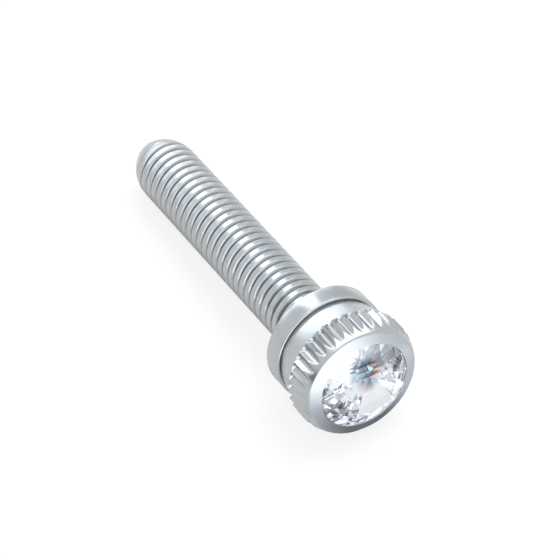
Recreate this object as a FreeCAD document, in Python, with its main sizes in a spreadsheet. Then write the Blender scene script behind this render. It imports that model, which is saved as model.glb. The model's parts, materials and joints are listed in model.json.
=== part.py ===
"""Thumb screw with a fluted head and a brilliant-cut stone set in its face.

The screw is turned in one piece: threaded shank, collar, relief groove and flaring head.
Each body is drawn about its own +Z axis, from the tip (below zero) to the face, with zero
at the collar's seating face. The finished screw lies on its side on the plane Z = 0, on
its rim and the rounding of its tip, with the face towards +X.
"""
import FreeCAD, Part
import math
import os
import Sketcher

doc = FreeCAD.newDocument("crystal_thumb_screw")

# ---------------------------------------------------------------- driving dimensions
SIZES = {
    # shank
    "thread_dia": 6.0,           # major diameter, M6
    "shank_length": 31.5,        # tip to the collar's seating face
    "tip_flat_dia": 3.4,         # small flat at the very end
    "tip_round": 4.8,            # radius that rolls the shank into that flat
    # collar and relief groove
    "collar_dia": 10.66,
    "collar_width": 2.0,
    "collar_chamfer": 0.12,
    "groove_width": 0.2,
    "groove_dia": 9.5,
    # head, heights from its rear face
    "skirt_dia": 9.92,           # where the skirt starts, at the head's rear face
    "rim_dia": 11.74,            # widest place
    "rim_height": 2.95,
    "rim_rear_round": 2.9,       # skirt into rim
    "rim_front_round": 4.3,      # rim towards the face
    "lip_height": 5.52,          # inner edge of the bezel
    "bezel_angle": 18.0,         # degrees that the bezel falls away outwards
    "bezel_edge_round": 0.15,
    # flutes
    "flute_count": 36,
    "flute_depth": 0.42,
    "flute_angle": 90.0,         # between the two walls
    "flute_root_round": 0.15,
    "flute_start": 2.44,         # from the head's rear face
    # stone
    "stone_dia": 8.4,
    "girdle_height": 0.2,
    "crown_height": 1.15,
    "table_dia": 5.0,            # across the table's corners
    "star_dia": 6.4,             # across the lower tips of the star facets
    "pavilion_depth": 3.6,
    "lower_tip_dia": 1.9,        # across the inner tips of the lower-girdle facets
    # fit of the stone in its cup
    "stone_clearance": 0.03,     # radial, round the girdle
    "stone_sink": 0.02,          # girdle's top edge below the lip
    "stone_bed": 0.15,           # bonding gap under the point
}

sheet = doc.addObject("Spreadsheet::Sheet", "Sizes")
for row, (alias, value) in enumerate(SIZES.items(), start=1):
    sheet.set("A%d" % row, alias)
    sheet.set("B%d" % row, str(value))
    sheet.setAlias("B%d" % row, alias)
doc.recompute()

# Places that several features share, each from the driving dimensions alone.
HEAD_REAR = "(Sizes.collar_width + Sizes.groove_width)"
RIM_PLANE = "(%s + Sizes.rim_height)" % HEAD_REAR
LIP_PLANE = "(%s + Sizes.lip_height)" % HEAD_REAR
CUP_RADIUS = "(Sizes.stone_dia / 2 + Sizes.stone_clearance)"
GIRDLE_TOP = "(%s - Sizes.stone_sink)" % LIP_PLANE
GIRDLE_BASE = "(%s - Sizes.girdle_height)" % GIRDLE_TOP

ORIGIN = (-1, 1)      # how a sketch's constraints name its origin point


def size(alias):
    """The number in one cell."""
    return float(sheet.get(alias))


# ---------------------------------------------------------------- helpers
def new_body(label):
    body = doc.addObject("PartDesign::Body", label)
    body.Label = label
    return body


def origin_feature(body, role):
    return next(f for f in body.Origin.OriginFeatures if f.Role == role)


def new_sketch(body, name, plane="XZ_Plane"):
    sketch = body.newObject("Sketcher::SketchObject", name)
    sketch.AttachmentSupport = [(origin_feature(body, plane), "")]
    sketch.MapMode = "FlatFace"
    return sketch


def close_loop(sketch, edges, smooth_after=()):
    """Add edges that follow each other round a loop and join their ends.

    smooth_after lists the places in the loop whose edge runs tangent into the next one.
    """
    ids = [sketch.addGeometry(edge, False) for edge in edges]
    for place, (here, following) in enumerate(zip(ids, ids[1:] + ids[:1])):
        joint = "Tangent" if place in smooth_after else "Coincident"
        sketch.addConstraint(Sketcher.Constraint(joint, here, 2, following, 1))
    return ids


def line(start, end):
    return Part.LineSegment(FreeCAD.Vector(*start, 0), FreeCAD.Vector(*end, 0))


def arc(centre, radius, start_degrees, end_degrees):
    circle = Part.Circle(FreeCAD.Vector(*centre, 0), FreeCAD.Vector(0, 0, 1), radius)
    return Part.ArcOfCircle(circle, math.radians(start_degrees), math.radians(end_degrees))


def bind(sketch, name, constraint, expression):
    """Add a dimension and drive it from the sheet."""
    index = sketch.addConstraint(constraint)
    sketch.renameConstraint(index, name)
    sketch.setExpression("Constraints." + name, expression)


def level(sketch, *edges):
    for edge in edges:
        sketch.addConstraint(Sketcher.Constraint("Horizontal", edge))


def upright(sketch, *edges):
    for edge in edges:
        sketch.addConstraint(Sketcher.Constraint("Vertical", edge))


def set_radius_at(sketch, name, edge, end, expression, now):
    bind(sketch, name, Sketcher.Constraint("DistanceX", *ORIGIN, edge, end, now), expression)


def set_height_at(sketch, name, edge, end, expression, now):
    bind(sketch, name, Sketcher.Constraint("DistanceY", *ORIGIN, edge, end, now), expression)


def on_axis(sketch, edge, end):
    """Hold a point on the sketch's own vertical axis, which the solver knows as -2."""
    sketch.addConstraint(Sketcher.Constraint("PointOnObject", edge, end, -2))


def spin(body, kind, name, sketch):
    """Revolve a half section round the body's axis, to add (Revolution) or cut (Groove)."""
    feature = body.newObject("PartDesign::" + kind, name)
    feature.Profile = sketch
    feature.ReferenceAxis = (sketch, ["V_Axis"])
    feature.Angle = 360.0
    sketch.Visibility = False
    doc.recompute()
    return feature


def repeat_round(body, name, feature, count_expression, count):
    pattern = body.newObject("PartDesign::PolarPattern", name)
    pattern.Originals = [feature]
    pattern.Axis = (origin_feature(body, "Z_Axis"), [""])
    pattern.Angle = 360.0
    pattern.Occurrences = count
    if count_expression:
        pattern.setExpression("Occurrences", count_expression)
    body.Tip = pattern
    doc.recompute()
    return pattern


def circular_edges(shape, height, radius):
    """Names of the full-circle edges at one height and radius."""
    found = []
    for number, edge in enumerate(shape.Edges, start=1):
        if not isinstance(edge.Curve, Part.Circle):
            continue
        if abs(edge.Curve.Radius - radius) < 1e-4 and abs(edge.Curve.Center.z - height) < 1e-4:
            found.append("Edge%d" % number)
    return found


# ---------------------------------------------------------------- screw body
def turn_blank(body):
    """Half section of the turned part: tip, shank, collar and head, up to a plain face."""
    sketch = new_sketch(body, "blank_section")
    shank_r = size("thread_dia") / 2
    flat_r = size("tip_flat_dia") / 2
    collar_r = size("collar_dia") / 2
    skirt_r = size("skirt_dia") / 2
    rim_r = size("rim_dia") / 2
    tip = -size("shank_length")
    head_rear = size("collar_width") + size("groove_width")
    rim_plane = head_rear + size("rim_height")
    lip_plane = head_rear + size("lip_height")
    cup_r = size("stone_dia") / 2 + size("stone_clearance")

    # Where the rounds meet their neighbours: starting values that the sketch then solves.
    tip_centre_r = shank_r - size("tip_round")
    tip_turn = math.degrees(math.acos((flat_r - tip_centre_r) / size("tip_round")))
    tip_tangent = tip + size("tip_round") * math.sin(math.radians(tip_turn))
    skirt_turn = 20.0
    rear_r = size("rim_rear_round")
    rear_centre = (rim_r - rear_r, rim_plane)
    skirt_end = (
        rear_centre[0] + rear_r * math.cos(math.radians(skirt_turn)),
        rear_centre[1] - rear_r * math.sin(math.radians(skirt_turn)),
    )
    face_turn = 32.0
    front_r = size("rim_front_round")
    front_centre = (rim_r - front_r, rim_plane)
    face_edge = (
        front_centre[0] + front_r * math.cos(math.radians(face_turn)),
        front_centre[1] + front_r * math.sin(math.radians(face_turn)),
    )

    ids = close_loop(sketch, [
        line((0, tip), (flat_r, tip)),
        arc((tip_centre_r, tip_tangent), size("tip_round"), -tip_turn, 0),
        line((shank_r, tip_tangent), (shank_r, 0)),
        line((shank_r, 0), (collar_r, 0)),
        line((collar_r, 0), (collar_r, head_rear)),
        line((collar_r, head_rear), (skirt_r, head_rear)),
        line((skirt_r, head_rear), skirt_end),
        arc(rear_centre, rear_r, -skirt_turn, 0),
        arc(front_centre, front_r, 0, face_turn),
        line(face_edge, (cup_r, lip_plane)),
        line((cup_r, lip_plane), (0, lip_plane)),
        line((0, lip_plane), (0, tip)),
    ], smooth_after=(1, 6, 7))
    (tip_flat, tip_round, shank, seat, collar, head_back,
     skirt, rim_rear, rim_front, bezel, face, axis) = ids

    level(sketch, tip_flat, seat, head_back, face)
    upright(sketch, shank, collar)
    on_axis(sketch, axis, 1)
    on_axis(sketch, axis, 2)
    sketch.addConstraint(Sketcher.Constraint("Horizontal", rim_rear, 3, rim_rear, 2))

    bind(sketch, "tip_round", Sketcher.Constraint("Radius", tip_round, size("tip_round")),
         "Sizes.tip_round")
    bind(sketch, "rear_round", Sketcher.Constraint("Radius", rim_rear, rear_r),
         "Sizes.rim_rear_round")
    bind(sketch, "front_round", Sketcher.Constraint("Radius", rim_front, front_r),
         "Sizes.rim_front_round")
    bind(sketch, "bezel_angle",
         Sketcher.Constraint("Angle", bezel, 2, face, 1, math.radians(180 - size("bezel_angle"))),
         "180 - Sizes.bezel_angle")
    set_radius_at(sketch, "tip_flat_r", tip_flat, 2, "Sizes.tip_flat_dia / 2", flat_r)
    set_radius_at(sketch, "shank_r", shank, 2, "Sizes.thread_dia / 2", shank_r)
    set_radius_at(sketch, "collar_r", collar, 1, "Sizes.collar_dia / 2", collar_r)
    set_radius_at(sketch, "skirt_r", skirt, 1, "Sizes.skirt_dia / 2", skirt_r)
    set_radius_at(sketch, "rim_r", rim_rear, 2, "Sizes.rim_dia / 2", rim_r)
    set_radius_at(sketch, "lip_r", bezel, 2, CUP_RADIUS, cup_r)
    bind(sketch, "shank_length",
         Sketcher.Constraint("DistanceY", tip_flat, 1, *ORIGIN, -tip), "Sizes.shank_length")
    sketch.addConstraint(Sketcher.Constraint("PointOnObject", shank, 2, -1))
    set_height_at(sketch, "head_rear", collar, 2, HEAD_REAR, head_rear)
    set_height_at(sketch, "rim_plane", rim_rear, 2, RIM_PLANE, rim_plane)
    set_height_at(sketch, "lip_plane", bezel, 2, LIP_PLANE, lip_plane)
    return spin(body, "Revolution", "turned_blank", sketch)


def turn_relief(body):
    """Square groove between the collar and the head."""
    sketch = new_sketch(body, "relief_section")
    low = size("collar_width")
    high = low + size("groove_width")
    inner = size("groove_dia") / 2
    outer = size("rim_dia") / 2
    base, outside, top, floor = close_loop(sketch, [
        line((inner, low), (outer, low)),
        line((outer, low), (outer, high)),
        line((outer, high), (inner, high)),
        line((inner, high), (inner, low)),
    ])
    level(sketch, base, top)
    upright(sketch, outside, floor)
    set_radius_at(sketch, "floor_r", floor, 2, "Sizes.groove_dia / 2", inner)
    set_radius_at(sketch, "outer_r", outside, 1, "max(Sizes.rim_dia; Sizes.collar_dia) / 2", outer)
    set_height_at(sketch, "collar_side", base, 1, "Sizes.collar_width", low)
    set_height_at(sketch, "head_side", top, 1, HEAD_REAR, high)
    return spin(body, "Groove", "relief_groove", sketch)


def turn_cup(body):
    """Bore and cone that take the stone, open at the face."""
    sketch = new_sketch(body, "cup_section")
    lip_plane = size("collar_width") + size("groove_width") + size("lip_height")
    cup_r = size("stone_dia") / 2 + size("stone_clearance")
    ledge = lip_plane - size("stone_sink") - size("girdle_height")
    bottom = ledge - size("pavilion_depth") - size("stone_bed")
    cone, wall, mouth, axis = close_loop(sketch, [
        line((0, bottom), (cup_r, ledge)),
        line((cup_r, ledge), (cup_r, lip_plane)),
        line((cup_r, lip_plane), (0, lip_plane)),
        line((0, lip_plane), (0, bottom)),
    ])
    upright(sketch, wall)
    level(sketch, mouth)
    on_axis(sketch, axis, 1)
    on_axis(sketch, axis, 2)
    set_radius_at(sketch, "cup_r", wall, 2, CUP_RADIUS, cup_r)
    set_height_at(sketch, "mouth", wall, 2, LIP_PLANE, lip_plane)
    set_height_at(sketch, "ledge", cone, 2, GIRDLE_BASE, ledge)
    set_height_at(sketch, "bottom", cone, 1,
                  "%s - Sizes.pavilion_depth - Sizes.stone_bed" % GIRDLE_BASE, bottom)
    return spin(body, "Groove", "stone_cup", sketch)


def ease_edges(body, base):
    """Break the collar's two sharp edges and soften the bezel's outer edge."""
    collar_r = size("collar_dia") / 2
    edges = circular_edges(base.Shape, 0.0, collar_r)
    edges += circular_edges(base.Shape, size("collar_width"), collar_r)
    chamfer = body.newObject("PartDesign::Chamfer", "collar_chamfers")
    chamfer.Base = (base, edges)
    chamfer.setExpression("Size", "Sizes.collar_chamfer")
    doc.recompute()

    # The bezel's outer edge is the widest circle between the rim's plane and the lip's.
    rim_plane = size("collar_width") + size("groove_width") + size("rim_height")
    lip_plane = size("collar_width") + size("groove_width") + size("lip_height")
    rings = [
        (edge.Curve.Radius, "Edge%d" % number)
        for number, edge in enumerate(chamfer.Shape.Edges, start=1)
        if isinstance(edge.Curve, Part.Circle)
        and abs(edge.Curve.Axis.z) > 0.999
        and rim_plane + 1e-4 < edge.Curve.Center.z < lip_plane - 1e-4
    ]
    fillet = body.newObject("PartDesign::Fillet", "bezel_edge")
    fillet.Base = (chamfer, [max(rings)[1]])
    fillet.setExpression("Radius", "Sizes.bezel_edge_round")
    doc.recompute()
    return fillet


def cut_flutes(body):
    """Vee flutes along the rim. They start square and run out where the rim curves in."""
    sketch = new_sketch(body, "flute_section", "XY_Plane")
    sketch.setExpression("AttachmentOffset.Base.z", "%s + Sizes.flute_start" % HEAD_REAR)
    half = math.radians(size("flute_angle") / 2)
    root = size("flute_root_round")
    outer = size("rim_dia") / 2 + size("flute_depth")
    floor = size("rim_dia") / 2 - size("flute_depth")
    centre = floor + root
    touch = (centre - root * math.sin(half), root * math.cos(half))
    rise = touch[1] + (outer - touch[0]) * math.tan(half)
    root_arc, lower_wall, opening, upper_wall = close_loop(sketch, [
        arc((centre, 0), root, 180 - (90 - math.degrees(half)), 180 + (90 - math.degrees(half))),
        line((touch[0], -touch[1]), (outer, -rise)),
        line((outer, -rise), (outer, rise)),
        line((outer, rise), touch),
    ], smooth_after=(0, 3))
    sketch.addConstraint(Sketcher.Constraint("PointOnObject", root_arc, 3, -1))
    sketch.addConstraint(Sketcher.Constraint("Symmetric", opening, 1, opening, 2, -1))
    bind(sketch, "root_round", Sketcher.Constraint("Radius", root_arc, root),
         "Sizes.flute_root_round")
    bind(sketch, "wall_angle", Sketcher.Constraint("Angle", lower_wall, -half),
         "-Sizes.flute_angle / 2")
    set_radius_at(sketch, "root_centre", root_arc, 3,
                  "Sizes.rim_dia / 2 - Sizes.flute_depth + Sizes.flute_root_round", centre)
    set_radius_at(sketch, "outside", opening, 1, "Sizes.rim_dia / 2 + Sizes.flute_depth", outer)

    flute = body.newObject("PartDesign::Pocket", "flute")
    flute.Profile = sketch
    flute.Reversed = True
    flute.setExpression("Length", "Sizes.lip_height - Sizes.flute_start")
    sketch.Visibility = False
    doc.recompute()
    return repeat_round(body, "flutes", flute, "Sizes.flute_count", int(size("flute_count")))


def make_screw_body():
    body = new_body("screw_body")
    turn_blank(body)
    turn_relief(body)
    cup = turn_cup(body)
    ease_edges(body, cup)
    cut_flutes(body)
    return body


# ---------------------------------------------------------------- stone
# The stone has eight-fold symmetry: main facets at 0 degrees, stars halfway between them at
# 22.5 and two girdle facets beside each main facet at 11.25 either way.
FOLD = 8
HALF_STEP = 180.0 / FOLD
QUARTER_STEP = 90.0 / FOLD

STONE_R = "(Sizes.stone_dia / 2)"
CHORD_R = "(%s * cos(%s))" % (STONE_R, QUARTER_STEP)
# Main facets run from the girdle to the table's corners above, and to the point below.
CROWN_SLOPE = "(Sizes.crown_height / (%s - Sizes.table_dia / 2))" % STONE_R
PAVILION_SLOPE = "(Sizes.pavilion_depth / %s)" % STONE_R
# Height over the girdle of the stars' lower tips, and depth under it of the lower tips.
STAR_TIP = "((%s - Sizes.star_dia / 2 * cos(%s)) * %s)" % (STONE_R, HALF_STEP, CROWN_SLOPE)
LOWER_TIP = "((%s - Sizes.lower_tip_dia / 2 * cos(%s)) * %s)" % (
    STONE_R, HALF_STEP, PAVILION_SLOPE)

# name, copies, azimuth, radius and height of a line in the facet, slope (rise inwards)
FACETS = [
    ("crown_main", FOLD, 0.0, STONE_R, GIRDLE_TOP, CROWN_SLOPE),
    ("star", FOLD, HALF_STEP, "(Sizes.star_dia / 2)", "(%s + %s)" % (GIRDLE_TOP, STAR_TIP),
     "((Sizes.crown_height - %s) / (Sizes.star_dia / 2 - Sizes.table_dia / 2 * cos(%s)))"
     % (STAR_TIP, HALF_STEP)),
    ("upper_girdle", 2 * FOLD, QUARTER_STEP, CHORD_R, GIRDLE_TOP,
     "(%s / (%s - Sizes.star_dia / 2 * cos(%s)))" % (STAR_TIP, CHORD_R, QUARTER_STEP)),
    ("pavilion_main", FOLD, 0.0, STONE_R, GIRDLE_BASE, "(-%s)" % PAVILION_SLOPE),
    ("lower_girdle", 2 * FOLD, QUARTER_STEP, CHORD_R, GIRDLE_BASE,
     "(-%s / (%s - Sizes.lower_tip_dia / 2 * cos(%s)))" % (LOWER_TIP, CHORD_R, QUARTER_STEP)),
]


def cut_facets(body, name, copies, azimuth, radius, height, slope):
    """One facet family: a wedge cut whose sloping side is the facet, repeated round."""
    above = not slope.startswith("(-")
    far_r = "Sizes.stone_dia"
    # The wedge ends a little past the table or the point, where there is no stone left.
    if above:
        end_height = "(%s + Sizes.crown_height + Sizes.girdle_height)" % GIRDLE_TOP
    else:
        end_height = "(%s - Sizes.pavilion_depth - Sizes.girdle_height)" % GIRDLE_BASE
    low_height = "%s - (%s - %s) * %s" % (height, far_r, radius, slope)
    near_r = "%s - (%s - %s) / %s" % (radius, end_height, height, slope)

    sketch = new_sketch(body, name + "_section")
    sketch.AttachmentOffset = FreeCAD.Placement(
        FreeCAD.Vector(0, 0, 0), FreeCAD.Rotation(FreeCAD.Vector(0, 1, 0), azimuth))
    reach = size("stone_dia")
    end_now = reach if above else -reach
    facet, outside, end = close_loop(sketch, [
        line((0, end_now), (reach, 0)),
        line((reach, 0), (reach, end_now)),
        line((reach, end_now), (0, end_now)),
    ])
    upright(sketch, outside)
    level(sketch, end)
    set_radius_at(sketch, "outside", outside, 1, far_r, reach)
    set_height_at(sketch, "outer_end", facet, 2, low_height, 0)
    set_radius_at(sketch, "inner_end", facet, 1, near_r, 0)
    set_height_at(sketch, "end_level", end, 1, end_height, end_now)

    cut = body.newObject("PartDesign::Pocket", name)
    cut.Profile = sketch
    cut.Midplane = True
    cut.setExpression("Length", "Sizes.stone_dia * 2")
    sketch.Visibility = False
    doc.recompute()
    return repeat_round(body, name + "_facets", cut, None, copies)


def make_crystal():
    """A round preform, then the facets in the order a cutter lays them on."""
    body = new_body("crystal")
    sketch = new_sketch(body, "preform_outline", "XY_Plane")
    sketch.setExpression("AttachmentOffset.Base.z", "%s - Sizes.pavilion_depth" % GIRDLE_BASE)
    circle = Part.Circle(FreeCAD.Vector(0, 0, 0), FreeCAD.Vector(0, 0, 1), size("stone_dia") / 2)
    outline = sketch.addGeometry(circle, False)
    sketch.addConstraint(Sketcher.Constraint("Coincident", outline, 3, *ORIGIN))
    bind(sketch, "radius", Sketcher.Constraint("Radius", outline, size("stone_dia") / 2), STONE_R)
    preform = body.newObject("PartDesign::Pad", "preform")
    preform.Profile = sketch
    preform.setExpression(
        "Length", "Sizes.pavilion_depth + Sizes.girdle_height + Sizes.crown_height")
    sketch.Visibility = False
    doc.recompute()
    for family in FACETS:
        cut_facets(body, *family)
    return body


screw_body = make_screw_body()
crystal = make_crystal()
NODES = [screw_body, crystal]


# ---------------------------------------------------------------- how it lies at rest
def resting_place():
    """Lay the screw on its rim and its tip's rounding, face towards +X.

    The axis leans by the angle of the straight line that touches both rounds from below.
    """
    rim_centre_r = size("rim_dia") / 2 - size("rim_rear_round")
    rim_centre_z = size("collar_width") + size("groove_width") + size("rim_height")
    tip_centre_r = size("thread_dia") / 2 - size("tip_round")
    tip_rise = math.sqrt(size("tip_round") ** 2 - (size("tip_flat_dia") / 2 - tip_centre_r) ** 2)
    tip_centre_z = -size("shank_length") + tip_rise
    along = rim_centre_z - tip_centre_z
    across = rim_centre_r - tip_centre_r
    difference = size("tip_round") - size("rim_rear_round")
    lean = math.atan2(across, along) - math.asin(difference / math.hypot(along, across))

    turn = FreeCAD.Rotation(FreeCAD.Vector(0, 1, 0), 90 - math.degrees(lean))
    laid = FreeCAD.Placement(FreeCAD.Vector(0, 0, 0), turn)
    screw = Part.makeCompound([node.Shape for node in NODES])
    box = screw.transformed(laid.toMatrix(), True).optimalBoundingBox(False)
    laid.Base = FreeCAD.Vector(-(box.XMin + box.XMax) / 2, 0, -box.ZMin)
    return laid


laid = resting_place()
for node in NODES:
    node.Placement = laid
doc.recompute()

# ---------------------------------------------------------------- checks and export
for item in doc.Objects:
    if "Invalid" in item.State or "Error" in item.State:
        raise RuntimeError("%s did not build: %s" % (item.Label, item.State))
for node in NODES:
    if node.Shape.isNull() or not node.Shape.isValid():
        raise RuntimeError("%s has no valid shape" % node.Label)

os.makedirs("parts", exist_ok=True)
for node in NODES:
    node.Shape.exportStep("parts/%s.step" % node.Label)
    box = node.Shape.optimalBoundingBox(False)
    print("%-12s %8.3f mm3  X %.3f..%.3f  Y %.3f..%.3f  Z %.3f..%.3f" % (
        node.Label, node.Shape.Volume, box.XMin, box.XMax, box.YMin, box.YMax, box.ZMin, box.ZMax))
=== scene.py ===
import json
import math

import bpy
from mathutils import Matrix, Vector


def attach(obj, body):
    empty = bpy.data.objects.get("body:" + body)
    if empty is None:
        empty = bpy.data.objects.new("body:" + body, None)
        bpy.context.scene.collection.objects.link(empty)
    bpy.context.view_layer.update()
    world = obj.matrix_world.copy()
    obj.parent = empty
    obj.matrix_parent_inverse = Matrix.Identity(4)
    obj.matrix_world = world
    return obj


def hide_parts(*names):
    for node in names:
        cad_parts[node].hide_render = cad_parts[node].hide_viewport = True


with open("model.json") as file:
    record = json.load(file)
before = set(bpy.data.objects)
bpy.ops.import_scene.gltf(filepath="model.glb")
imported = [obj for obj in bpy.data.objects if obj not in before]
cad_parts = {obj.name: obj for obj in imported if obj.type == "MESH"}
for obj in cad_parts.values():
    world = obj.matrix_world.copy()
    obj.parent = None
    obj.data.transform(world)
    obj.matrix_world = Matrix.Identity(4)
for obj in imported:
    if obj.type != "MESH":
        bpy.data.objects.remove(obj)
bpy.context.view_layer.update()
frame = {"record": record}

# ------------------------------------------------------------------ how the screw lies
# The screw rests on its rim and on the rounding of its tip. Every piece is modelled
# upright in millimetres, with zero at the collar's seating face and the stone upwards,
# and is then laid down in the place that the shank's mount gives. The mount stands 14 mm
# down the shank from that face.
shank_mount = next(m for m in frame["record"]["mounts"] if m["name"] == "shank")
MOUNT_TO_SEAT = 0.014
ALONG = -Vector(shank_mount["axis"]).normalized()
SEAT = Vector(shank_mount["pos_m"]) + ALONG * MOUNT_TO_SEAT
ACROSS = Vector((0.0, 1.0, 0.0))
DOWN = ACROSS.cross(ALONG)
MM = 0.001
LAID = Matrix.Translation(SEAT) @ Matrix((DOWN, ACROSS, ALONG)).transposed().to_4x4()
LAID = LAID @ Matrix.Scale(MM, 4)


# ------------------------------------------------------------------ camera
# A long lens looks down on the face from the front right.
bpy.ops.object.select_all(action="DESELECT")
bpy.ops.object.camera_add(
    location=(0.159576, -0.088196, 0.174471),
    rotation=(math.radians(46.8), 0.0, math.radians(60.48)),
)
camera = bpy.context.object
camera.name = "camera"
camera.data.sensor_width = 36.0
camera.data.lens = 179.04
camera.data.clip_start = 0.01
camera.data.clip_end = 10.0
bpy.context.scene.camera = camera
bpy.context.scene.view_settings.view_transform = "Standard"
# Light goes on from facet to facet inside the stone, so more mirror bounces are followed.
bpy.context.scene.cycles.glossy_bounces = 12


# ------------------------------------------------------------------ table and light
# A white table under a white sky. Lit boxes and dark cards stand round the screw; only
# the plating and the stone see them.
def node(tree, kind, settings=None, **inputs):
    """Add a node, give its plain settings, and set or link its inputs by name."""
    made = tree.nodes.new(kind)
    for name, value in (settings or {}).items():
        setattr(made, name, value)
    for name, value in inputs.items():
        socket = made.inputs[int(name[1:])] if name[1:].isdigit() else made.inputs[
            name.replace("_", " ")]
        if isinstance(value, bpy.types.NodeSocket):
            tree.links.new(value, socket)
        else:
            socket.default_value = value
    return made


def linear(hex_colour):
    """sRGB hex to a linear colour with alpha."""
    channels = [int(hex_colour[i:i + 2], 16) / 255.0 for i in (1, 3, 5)]
    return tuple(
        c / 12.92 if c <= 0.04045 else ((c + 0.055) / 1.055) ** 2.4 for c in channels
    ) + (1.0,)


def new_material(name):
    """A material with an empty node tree, and that tree."""
    material = bpy.data.materials.new(name)
    material.use_nodes = True
    material.node_tree.nodes.clear()
    return material, material.node_tree


def seen_directly(tree):
    """1 for rays from the camera, and for those that metal and glass send on."""
    path = node(tree, "ShaderNodeLightPath")
    mirrored = node(tree, "ShaderNodeMath", {"operation": "MAXIMUM"},
                    _0=path.outputs["Is Camera Ray"], _1=path.outputs["Is Glossy Ray"])
    passed = node(tree, "ShaderNodeMath", {"operation": "MAXIMUM"},
                  _0=mirrored.outputs[0], _1=path.outputs["Is Transmission Ray"])
    return passed.outputs[0]


# To the eye the sheet glows by itself, and keeps a faint shadow; in the metal and in the
# stone it shows with the deeper shadow that lies close under the screw.
table_white, tree = new_material("table_white")
matt = node(tree, "ShaderNodeBsdfDiffuse", Color=linear("#F2F2F2"))
path = node(tree, "ShaderNodeLightPath")
share = node(tree, "ShaderNodeMapRange", Value=path.outputs["Is Camera Ray"], To_Min=0.0,
             To_Max=0.82)
rest = node(tree, "ShaderNodeMapRange", Value=path.outputs["Is Camera Ray"], To_Min=0.88,
            To_Max=0.20)
glow = node(tree, "ShaderNodeEmission", Color=linear("#FFFFFF"), Strength=share.outputs[0])
grey = node(tree, "ShaderNodeCombineColor", _0=rest.outputs[0], _1=rest.outputs[0],
            _2=rest.outputs[0])
sheet = node(tree, "ShaderNodeBsdfDiffuse", Color=grey.outputs[0])
both = node(tree, "ShaderNodeAddShader", _0=glow.outputs[0], _1=sheet.outputs[0])
shown = node(tree, "ShaderNodeMixShader", _0=seen_directly(tree), _1=matt.outputs[0],
             _2=both.outputs[0])
node(tree, "ShaderNodeOutputMaterial", Surface=shown.outputs[0])

bpy.ops.object.select_all(action="DESELECT")
bpy.ops.mesh.primitive_plane_add(size=6.0, location=(0, 0, 0))
table = bpy.context.object
table.name = "table"
table.data.materials.append(table_white)

world = bpy.data.worlds.new("studio_white")
bpy.context.scene.world = world
world.use_nodes = True
tree = world.node_tree
tree.nodes.clear()
fill = node(tree, "ShaderNodeBackground", Color=linear("#FFFFFF"), Strength=0.75)
sky = node(tree, "ShaderNodeBackground", Color=linear("#FFFFFF"), Strength=1.0)
shown = node(tree, "ShaderNodeMixShader", _0=seen_directly(tree), _1=fill.outputs[0],
             _2=sky.outputs[0])
node(tree, "ShaderNodeOutputWorld", Surface=shown.outputs[0])


# Heights on a panel, as shares of its own, between which it can draw in its sides.
WAIST_FROM = -0.31
WAIST_TO = -0.20


def soft_box(name, centre, size, towards, strength, soft=0.2, narrow=1.0):
    """A panel that only mirrors and glass see. Its light fades to the sky's towards its
    edges, and it can be narrower above the waist than below."""
    cloth, tree = new_material(name + "_cloth")
    place = node(tree, "ShaderNodeTexCoord")
    parts = node(tree, "ShaderNodeSeparateXYZ", Vector=place.outputs["Object"])
    aside = node(tree, "ShaderNodeMath", {"operation": "ABSOLUTE"}, _0=parts.outputs["X"])
    upward = node(tree, "ShaderNodeMath", {"operation": "ABSOLUTE"}, _0=parts.outputs["Y"])
    waist = node(tree, "ShaderNodeMapRange", {"interpolation_type": "SMOOTHSTEP"},
                 Value=parts.outputs["Y"], From_Min=WAIST_FROM, From_Max=WAIST_TO,
                 To_Max=narrow, To_Min=1.0)
    sides = node(tree, "ShaderNodeMath", {"operation": "MULTIPLY"}, _0=aside.outputs[0],
                 _1=waist.outputs[0])
    out = node(tree, "ShaderNodeMath", {"operation": "MAXIMUM"}, _0=sides.outputs[0],
               _1=upward.outputs[0])
    level = node(tree, "ShaderNodeMapRange", {"interpolation_type": "SMOOTHSTEP"},
                 Value=out.outputs[0], From_Min=0.5, From_Max=0.5 - soft, To_Min=1.0,
                 To_Max=strength)
    lamp = node(tree, "ShaderNodeEmission", Color=linear("#F2F9FF"),
                Strength=level.outputs[0])
    node(tree, "ShaderNodeOutputMaterial", Surface=lamp.outputs[0])
    bpy.ops.object.select_all(action="DESELECT")
    bpy.ops.mesh.primitive_plane_add(size=1.0)
    panel = bpy.context.object
    panel.name = name
    panel.scale = (size[0], size[1], 1.0)
    panel.location = centre
    facing = Vector(towards) - Vector(centre)
    panel.rotation_euler = facing.to_track_quat("Z", "Y").to_euler()
    panel.data.materials.append(cloth)
    panel.visible_camera = False
    panel.visible_diffuse = False
    panel.visible_shadow = False


# Lit boxes behind the tip, slanting in front of the face, overhead, and flat on the table
# before the face.
soft_box("box_behind", (-0.078, 0.001, 0.095), (0.136, 0.190), (0.0, 0.001, 0.095), 3.1,
         0.26, 2.4)
soft_box("box_front", (0.0542, -0.012, 0.0212), (0.070, 0.140), (0.0, -0.012, 0.0754), 2.5,
         0.33)
soft_box("box_over", (0.0, 0.03, 0.20), (0.18, 0.32), (0.0, 0.03, 0.0), 3.4, 0.25)
soft_box("box_low", (0.054, -0.010, 0.0006), (0.070, 0.066), (0.054, -0.010, 1.0), 2.6,
         0.32)
# Cards dimmer than the sky, behind to one side and in front to the other. A small dark one
# lies under the bezel as a painted shadow, mirrored as the shade close under the screw.
soft_box("card_behind", (-0.070, 0.110, 0.050), (0.080, 0.150), (0.0, 0.0, 0.020), 0.88)
soft_box("card_left", (0.045, -0.120, 0.026), (0.080, 0.052), (0.045, 0.0, 0.026), 0.30)
soft_box("painted_shadow_card", (0.018, 0.0005, 0.001), (0.014, 0.014), (0.018, 0.0005, 1.0), 0.3,
         0.4)

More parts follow.
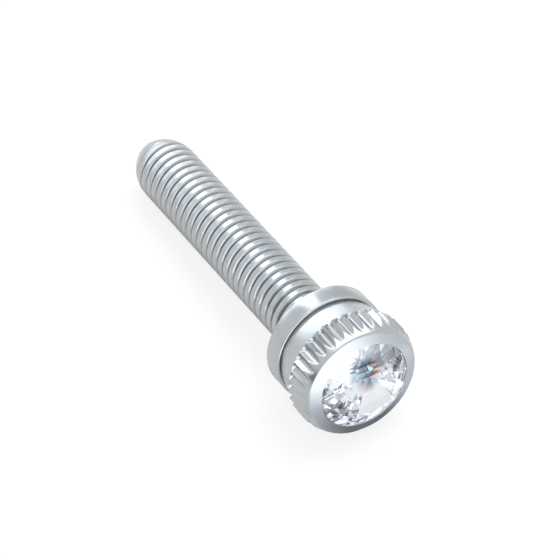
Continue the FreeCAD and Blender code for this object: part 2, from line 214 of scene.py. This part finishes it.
# A broad lamp high to one side gives the faint shadow, and isn't mirrored in the screw.
bpy.ops.object.select_all(action="DESELECT")
bpy.ops.object.light_add(type="AREA", location=(-0.05, 0.15, 0.45))
key = bpy.context.object
key.name = "key_lamp"
key.data.shape = "DISK"
key.data.size = 0.35
key.data.energy = 1.1
key.rotation_euler = (-key.location).to_track_quat("-Z", "Y").to_euler()
key.visible_camera = False
key.visible_glossy = False
key.visible_transmission = False


# ------------------------------------------------------------------ threaded shank
# Rolled M6 x 1 thread on the turned shank, 31.5 mm long. It runs up to the collar and
# fades over the rounded tip. Same bar and same plating as the collar and the head.
PITCH = 1.0
THREAD_R = 3.0
SHANK_LENGTH = 31.5
TIP_ROUND = 4.8
TIP_FLAT_R = 1.7
CREST_HALF = 0.25 * PITCH
ROOT_R = THREAD_R - 0.34 * PITCH
FLANK = math.radians(31)
CREST_BLEND = 0.06
ROOT_BLEND = 0.08
THREAD_STEPS = 96
THREAD_TURNS = 34
BEYOND_TIP = 1.2
INTO_COLLAR = 0.4
SMOOTH_BELOW = math.radians(35)


def draw_section(name, points):
    """Start from one point of a plane and draw it out through a section in XZ."""
    bpy.ops.object.select_all(action="DESELECT")
    bpy.ops.mesh.primitive_plane_add(size=1.0, location=(0, 0, 0))
    drawn = bpy.context.object
    drawn.name = name
    drawn.data.name = name
    bpy.ops.object.mode_set(mode="EDIT")
    bpy.ops.mesh.select_all(action="SELECT")
    bpy.ops.mesh.merge(type="CENTER")
    bpy.ops.transform.translate(value=(points[0][0], 0, points[0][1]))
    for here, there in zip(points, points[1:]):
        bpy.ops.mesh.extrude_region_move(TRANSFORM_OT_translate={
            "value": (there[0] - here[0], 0, there[1] - here[1])})
    bpy.ops.object.mode_set(mode="OBJECT")
    return drawn


def turn(piece, steps, rise=0.0, turns=1):
    """Turn the section round Z, and apply it."""
    screw = piece.modifiers.new("turned", "SCREW")
    screw.axis = "Z"
    screw.steps = steps
    screw.render_steps = steps
    screw.screw_offset = rise
    screw.iterations = turns
    screw.use_merge_vertices = True
    screw.merge_threshold = 1e-4
    bpy.context.view_layer.objects.active = piece
    bpy.ops.object.modifier_apply(modifier=screw.name)


def face_outwards(piece):
    """Join what meets, and turn every face outwards."""
    bpy.context.view_layer.objects.active = piece
    bpy.ops.object.mode_set(mode="EDIT")
    bpy.ops.mesh.select_all(action="SELECT")
    bpy.ops.mesh.remove_doubles(threshold=1e-4)
    bpy.ops.mesh.normals_make_consistent(inside=False)
    bpy.ops.object.mode_set(mode="OBJECT")


def lay_down(piece):
    """Lay the upright piece on the table and apply its place."""
    bpy.ops.object.select_all(action="DESELECT")
    piece.select_set(True)
    bpy.context.view_layer.objects.active = piece
    piece.matrix_world = LAID
    bpy.ops.object.transform_apply(location=True, rotation=True, scale=True)


def rounded(low, high, blend):
    """The lower of two heights, with the corner between them rounded off."""
    mix = max(blend - abs(high - low), 0.0) / blend
    return min(low, high) - mix * mix * blend / 4


def thread_radius(offset):
    """Radius of the thread's form at a distance along the axis from the crest's middle."""
    flank_r = THREAD_R - (abs(offset) - CREST_HALF) / math.tan(FLANK)
    crested = rounded(flank_r, THREAD_R, CREST_BLEND)
    return -rounded(-crested, -ROOT_R, ROOT_BLEND)


form_points = [(thread_radius(k / 36.0), k / 36.0) for k in range(-18, 19)]
shank = draw_section("threaded_shank", form_points)
# The thread is turned from beyond the tip, and is cut off there and closed.
shank.data.transform(Matrix.Translation((0, 0, -SHANK_LENGTH - BEYOND_TIP)))
turn(shank, THREAD_STEPS, PITCH, THREAD_TURNS)

bpy.ops.object.mode_set(mode="EDIT")
bpy.ops.mesh.select_all(action="SELECT")
bpy.ops.mesh.bisect(plane_co=(0, 0, -SHANK_LENGTH + 0.002), plane_no=(0, 0, 1),
                    use_fill=True, clear_inner=True, threshold=1e-5)
bpy.ops.mesh.select_all(action="SELECT")
bpy.ops.mesh.bisect(plane_co=(0, 0, INTO_COLLAR), plane_no=(0, 0, 1), use_fill=True,
                    clear_outer=True, threshold=1e-5)
bpy.ops.object.mode_set(mode="OBJECT")

# The blank's rounded end limits how far the thread stands out.
flat_across = TIP_FLAT_R - THREAD_R + TIP_ROUND
tip_centre = -SHANK_LENGTH + math.sqrt(TIP_ROUND ** 2 - flat_across ** 2)


def blank_radius(z):
    """Radius of the blank at a height: plain, and rounded off towards the tip."""
    drop = tip_centre - z
    if drop <= 0:
        return THREAD_R
    return THREAD_R - TIP_ROUND + math.sqrt(max(TIP_ROUND ** 2 - drop ** 2, 0))


for vertex in shank.data.vertices:
    limit = blank_radius(vertex.co.z)
    radius = math.hypot(vertex.co.x, vertex.co.y)
    if vertex.co.z < tip_centre and radius > limit:
        vertex.co.x *= limit / radius
        vertex.co.y *= limit / radius
face_outwards(shank)

# How deep each point lies in the thread's groove, from 0 on the crest to 1 at the root.
groove = shank.data.attributes.new("groove", "FLOAT", "POINT")
for vertex, value in zip(shank.data.vertices, groove.data):
    below = blank_radius(vertex.co.z) - math.hypot(vertex.co.x, vertex.co.y)
    inside = -SHANK_LENGTH + 0.02 < vertex.co.z < 0.0
    value.value = min(max(below / (THREAD_R - ROOT_R), 0.0), 1.0) if inside else 0.0
bpy.ops.object.shade_smooth_by_angle(angle=SMOOTH_BELOW)
lay_down(shank)

# Bright nickel-chrome plate over turned steel: a cool, slightly blue mirror. Uneven
# polish in patches of a millimetre breaks up the edges of what it mirrors.
bright_plate, tree = new_material("bright_nickel_chrome")
place = node(tree, "ShaderNodeTexCoord")
grain = node(tree, "ShaderNodeTexNoise", Vector=place.outputs["Object"], Scale=900.0,
             Detail=3.0)
haze = node(tree, "ShaderNodeMapRange", Value=grain.outputs["Fac"], From_Min=0.3,
            From_Max=0.7, To_Min=0.19, To_Max=0.29)
# Painted shade: the base colour darkens down in the thread's groove, where shade falls.
depth = node(tree, "ShaderNodeAttribute", {"attribute_name": "groove"})
groove_painted_shade = node(tree, "ShaderNodeMapRange", {"interpolation_type": "SMOOTHSTEP"},
            Value=depth.outputs["Fac"], From_Min=0.15, From_Max=0.75)
plate_tone_and_painted_shade = node(tree, "ShaderNodeMix", {"data_type": "RGBA"}, _0=groove_painted_shade.outputs[0],
            _6=linear("#B6B8B9"), _7=linear("#86898C"))
# The tool's rings round the screw, really 0.04 mm apart and drawn at 0.1 mm, stay under
# the plate and draw each highlight out a little along the screw.
along = node(tree, "ShaderNodeVectorMath", {"operation": "DOT_PRODUCT"},
             _0=place.outputs["Object"], _1=tuple(ALONG))
feed = node(tree, "ShaderNodeTexNoise", {"noise_dimensions": "1D"},
            W=along.outputs["Value"], Scale=10000.0, Detail=1.0)
rings = node(tree, "ShaderNodeBump", Strength=0.4, Distance=0.0000015,
             Height=feed.outputs["Fac"])
metal = node(tree, "ShaderNodeBsdfPrincipled", Base_Color=plate_tone_and_painted_shade.outputs[2], Metallic=1.0,
             Roughness=haze.outputs[0], Normal=rings.outputs[0])
node(tree, "ShaderNodeOutputMaterial", Surface=metal.outputs[0])
shank.data.materials.append(bright_plate)
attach(shank, "root")
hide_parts("screw_body")


# ------------------------------------------------------------------ collar
# Plain collar against the end of the thread, with both edges broken, and the narrow
# square relief between it and the head. Turned with the head from the same bar.
COLLAR_R = 5.33
COLLAR_WIDTH = 2.0
EDGE_BREAK = 0.12
NECK_R = 4.90
HEAD_REAR = 2.2
# Each break has a short lead and a small step at both ends, so that it shades as an edge.
LEAD = 0.02
STEP = 0.01
collar = draw_section("collar", [
    (0.0, 0.0), (COLLAR_R - EDGE_BREAK - LEAD, 0.0), (COLLAR_R - EDGE_BREAK + STEP, STEP),
    (COLLAR_R - STEP, EDGE_BREAK - STEP), (COLLAR_R, EDGE_BREAK + LEAD),
    (COLLAR_R, COLLAR_WIDTH - EDGE_BREAK - LEAD),
    (COLLAR_R - STEP, COLLAR_WIDTH - EDGE_BREAK + STEP),
    (COLLAR_R - EDGE_BREAK + STEP, COLLAR_WIDTH - STEP),
    (COLLAR_R - EDGE_BREAK - LEAD, COLLAR_WIDTH), (NECK_R, COLLAR_WIDTH),
    (NECK_R, HEAD_REAR + 0.05), (0.0, HEAD_REAR + 0.05),
])
turn(collar, 192)
face_outwards(collar)
bpy.ops.object.shade_smooth_by_angle(angle=SMOOTH_BELOW)
lay_down(collar)
collar.data.materials.append(bright_plate)
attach(collar, "root")
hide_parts("screw_body")


# ------------------------------------------------------------------ fluted head
# Turned head: a slightly bulging skirt, a rounded rim with 36 round-rooted flutes that
# stands a little proud of it, a sloping bezel and the cup for the stone. The flutes are
# pressed in with a straight knurling wheel, and run out in a curve at both ends.
SKIRT_REAR = (5.07, 2.24)
SKIRT_MIDDLE = (5.30, 3.4)
SKIRT_TOP = (5.61, 4.52)
RIM_R = 5.87
RIM_Z = HEAD_REAR + 2.95
FRONT_ROUND = 4.3
LIP_Z = HEAD_REAR + 5.52
CUP_R = 4.23
CUP_FLOOR = 3.75
BEZEL = math.radians(18)
FLUTES = 36
FLUTE_FLOOR = 5.36
FLUTE_SIDE = 1.1
FLUTE_ROUND = 0.035
FLUTE_TURN = math.radians(6.5)
# Heights between which a flute's floor is level, and how fast it rises beyond them.
FLOOR_FROM, RISE_REAR = 4.71, 10.0
FLOOR_TO, RISE_FRONT = 6.6, 0.45
RIDGE_POLISH = 0.10
CREST_R = 5.80
RIM_STEP = 0.10
EDGE_SOFT = 0.14


def head_radius(z):
    """Radius of the plain head at a height, from the skirt to the bezel's edge."""
    if z < SKIRT_TOP[1]:
        (r0, z0), (r1, z1), (r2, z2) = SKIRT_REAR, SKIRT_MIDDLE, SKIRT_TOP
        return (r0 * (z - z1) * (z - z2) / ((z0 - z1) * (z0 - z2))
                + r1 * (z - z0) * (z - z2) / ((z1 - z0) * (z1 - z2))
                + r2 * (z - z0) * (z - z1) / ((z2 - z0) * (z2 - z1)))
    turned_r = RIM_R - FRONT_ROUND + math.sqrt(FRONT_ROUND ** 2 - (z - RIM_Z) ** 2)
    if turned_r <= CREST_R:
        return turned_r
    # The knurled rim steps up from the skirt in a short curve.
    rise = min((z - SKIRT_TOP[1]) / RIM_STEP, 1.0)
    rise = rise * rise * (3 - 2 * rise)
    return SKIRT_TOP[0] + (CREST_R - SKIRT_TOP[0]) * rise


def bezel_z(r):
    """Height of the bezel's face at a radius."""
    return LIP_Z - (r - CUP_R) * math.tan(BEZEL)


# The bezel meets the front round where the two heights agree.
edge_z = LIP_Z
for _ in range(40):
    edge_z = bezel_z(head_radius(edge_z))
edge_r = head_radius(edge_z)

# Heights of the section's points. They stand closest where the flutes start.
RIM_FROM = 4.82
FRONT_FROM = 6.52
rows = [SKIRT_REAR[1] + 0.06 + k * 0.2 for k in range(12)] + [SKIRT_TOP[1]]
rows += [SKIRT_TOP[1] + 0.025 * k for k in range(1, 10)]
rows += [RIM_FROM + 0.14 * k for k in range(12)]
rows += [FRONT_FROM + k * (edge_z - 0.16 - FRONT_FROM) / 17 for k in range(18)]
section = [(0.0, SKIRT_REAR[1]), (SKIRT_REAR[0] - 0.06, SKIRT_REAR[1]),
           (SKIRT_REAR[0] - 0.012, SKIRT_REAR[1] + 0.014)]
section += [(head_radius(z), z) for z in rows]
# The bezel's outer edge is softened.
before = (head_radius(edge_z - 0.1), edge_z - 0.1)
after = (edge_r - EDGE_SOFT, bezel_z(edge_r - EDGE_SOFT))
for t in (0.15, 0.32, 0.5, 0.68, 0.85, 1.0):
    section.append(tuple(
        (1 - t) ** 2 * before[k] + 2 * t * (1 - t) * (edge_r, edge_z)[k] + t * t * after[k]
        for k in (0, 1)))
section += [(CUP_R + 0.05, bezel_z(CUP_R + 0.05)), (CUP_R + 0.02, LIP_Z - 0.008),
            (CUP_R, LIP_Z - 0.025), (CUP_R, LIP_Z - 0.22), (0.0, CUP_FLOOR)]
head = draw_section("fluted_head", section)
turn(head, FLUTES * 20)

# Each vertex of the rim is drawn in to the wall of its flute. The two walls stand a
# little closer than square, with a round root, and the floor rises at the two ends.
step = 2 * math.pi / FLUTES
for vertex in head.data.vertices:
    x, y, z = vertex.co
    radius = math.hypot(x, y)
    if z < SKIRT_TOP[1] + 0.01 or radius < FLUTE_FLOOR - 0.05:
        continue
    floor = (FLUTE_FLOOR + RISE_REAR * max(FLOOR_FROM - z, 0.0) ** 2
             + RISE_FRONT * max(z - FLOOR_TO, 0.0) ** 2)
    turned = (math.atan2(y, x) - FLUTE_TURN + step / 2) % step - step / 2
    wall = floor * (1 - FLUTE_SIDE * FLUTE_ROUND) / (
        math.cos(turned) - FLUTE_SIDE * math.hypot(math.sin(turned), FLUTE_ROUND))
    # The ridge between two flutes is polished over.
    cut = rounded(radius, wall, RIDGE_POLISH)
    vertex.co.x *= cut / radius
    vertex.co.y *= cut / radius
face_outwards(head)
bpy.ops.object.shade_smooth_by_angle(angle=SMOOTH_BELOW)
lay_down(head)
head.data.materials.append(bright_plate)
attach(head, "root")
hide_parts("screw_body")


# ------------------------------------------------------------------ stone
# Round brilliant of lead glass, 8.4 mm across, ground and polished facet by facet and
# silvered behind, bonded into the cup.
STONE_R = 4.2
GIRDLE = 0.2
GIRDLE_TOP = LIP_Z - 0.02
GIRDLE_BASE = GIRDLE_TOP - GIRDLE
CROWN = 1.15
TABLE_R = 2.5
STAR_R = 3.2
PAVILION = 2.2
LOWER_R = 0.85
RING_R = 1.35
TINT_FALL = 1.4
OFF_MIDDLE = (-0.15, 0.85)
EIGHTH = math.radians(22.5)
SIXTEENTH = math.radians(11.25)
crown_slope = CROWN / (STONE_R - TABLE_R)
pavilion_slope = PAVILION / STONE_R
star_rise = (STONE_R - STAR_R * math.cos(EIGHTH)) * crown_slope
lower_drop = (STONE_R - LOWER_R * math.cos(EIGHTH)) * pavilion_slope
chord_r = STONE_R * math.cos(SIXTEENTH)
# Each group of facets: how many, the first one's angle, the radius and height of a point
# on it, and its slope.
facets = [
    (8, 0.0, STONE_R, GIRDLE_TOP, crown_slope),
    (8, 22.5, STAR_R, GIRDLE_TOP + star_rise,
     (CROWN - star_rise) / (STAR_R - TABLE_R * math.cos(EIGHTH))),
    (16, 11.25, chord_r, GIRDLE_TOP, star_rise / (chord_r - STAR_R * math.cos(SIXTEENTH))),
    (8, 0.0, STONE_R, GIRDLE_BASE, -pavilion_slope),
    (16, 11.25, chord_r, GIRDLE_BASE,
     -lower_drop / (chord_r - LOWER_R * math.cos(SIXTEENTH))),
]
bpy.ops.object.select_all(action="DESELECT")
bpy.ops.mesh.primitive_cylinder_add(
    vertices=96, radius=STONE_R, depth=PAVILION + GIRDLE + CROWN,
    location=(0, 0, (GIRDLE_BASE - PAVILION + GIRDLE_TOP + CROWN) / 2))
stone = bpy.context.object
stone.name = "brilliant_stone"
bpy.ops.object.transform_apply(location=True, rotation=True, scale=True)
bpy.ops.object.mode_set(mode="EDIT")
for copies, first, at_r, at_z, slope in facets:
    for k in range(copies):
        angle = math.radians(first + k * 360.0 / copies)
        out = Vector((math.cos(angle), math.sin(angle), 0.0))
        rise = 1.0 if slope > 0 else -1.0
        normal = (out * abs(slope) + Vector((0, 0, rise))).normalized()
        bpy.ops.mesh.select_all(action="SELECT")
        bpy.ops.mesh.bisect(plane_co=out * at_r + Vector((0, 0, at_z)), plane_no=normal,
                            use_fill=True, clear_outer=True, threshold=1e-5)
# Two rings close to the point hold its tints in.
for ring_r in (RING_R, RING_R / 2):
    bpy.ops.mesh.select_all(action="SELECT")
    bpy.ops.mesh.bisect(plane_co=(0, 0, GIRDLE_BASE - PAVILION + ring_r * pavilion_slope),
                        plane_no=(0, 0, 1), threshold=1e-5)
bpy.ops.object.mode_set(mode="OBJECT")
# The point lies off the middle, which gathers the coloured fan to one side.
for vertex in stone.data.vertices:
    lean = max(GIRDLE_BASE - vertex.co.z, 0.0) / PAVILION
    vertex.co.x += OFF_MIDDLE[0] * lean
    vertex.co.y += OFF_MIDDLE[1] * lean
face_outwards(stone)

# Clear lead glass: bright, hard-edged facets. The lap leaves spots of half a millimetre
# that are not quite polished out and glint a shade softer.
cut_glass, tree = new_material("polished_lead_glass")
place = node(tree, "ShaderNodeTexCoord")
lap = node(tree, "ShaderNodeTexNoise", Vector=place.outputs["Object"], Scale=2000.0)
polish = node(tree, "ShaderNodeMapRange", Value=lap.outputs["Fac"], From_Min=0.5,
              From_Max=0.8, To_Max=0.03)
glass = node(tree, "ShaderNodeBsdfPrincipled", Base_Color=linear("#FFFFFF"),
             Roughness=polish.outputs[0], IOR=1.56, Transmission_Weight=1.0)
node(tree, "ShaderNodeOutputMaterial", Surface=glass.outputs[0])
# Silvering behind the glass: it throws the light back, so that the stone looks white.
foil, tree = new_material("silvered_back")
# The foil's colour carries the painted fire and painted dark reflections set below.
painted_fire = node(tree, "ShaderNodeAttribute", {"attribute_name": "painted_fire"})
mirror = node(tree, "ShaderNodeBsdfPrincipled", Base_Color=painted_fire.outputs["Color"],
              Metallic=1.0, Roughness=0.05)
node(tree, "ShaderNodeOutputMaterial", Surface=mirror.outputs[0])
stone.data.materials.append(cut_glass)
stone.data.materials.append(foil)
# The foil is silver towards the girdle. Near the point it is tinted facet by facet, in
# slate, sea blue, peach and lilac: painted fire and painted dark reflections, in place of
# the colours that cut glass splits from white light and the dark that it mirrors.
silver = Vector(linear("#E8E8EB"))
painted_fire_tints = ["#3A424C", "#6CA8BC", "#DCA890", "#484C54", "#A8A4B4", "#363C44", "#6898AE",
         "#A08890"]
painted_fire = stone.data.attributes.new("painted_fire", "FLOAT_COLOR", "CORNER")
for face in stone.data.polygons:
    face.material_index = 1 if face.center.z < GIRDLE_BASE - 0.01 else 0
    lean = max(GIRDLE_BASE - face.center.z, 0.0) / PAVILION
    turned = math.degrees(math.atan2(face.center.y - OFF_MIDDLE[1] * lean,
                                     face.center.x - OFF_MIDDLE[0] * lean)) % 360.0
    painted_tint = Vector(linear(painted_fire_tints[int(turned / 45.0 + 0.5) % 8]))
    for loop in face.loop_indices:
        corner = stone.data.vertices[stone.data.loops[loop].vertex_index].co
        ring = (corner.z - GIRDLE_BASE + PAVILION) / (RING_R * pavilion_slope)
        near = min(max(TINT_FALL - TINT_FALL * ring, 0.0), 1.0)
        painted_fire.data[loop].color = silver.lerp(painted_tint, near)
lay_down(stone)
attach(stone, "root")
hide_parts("crystal")
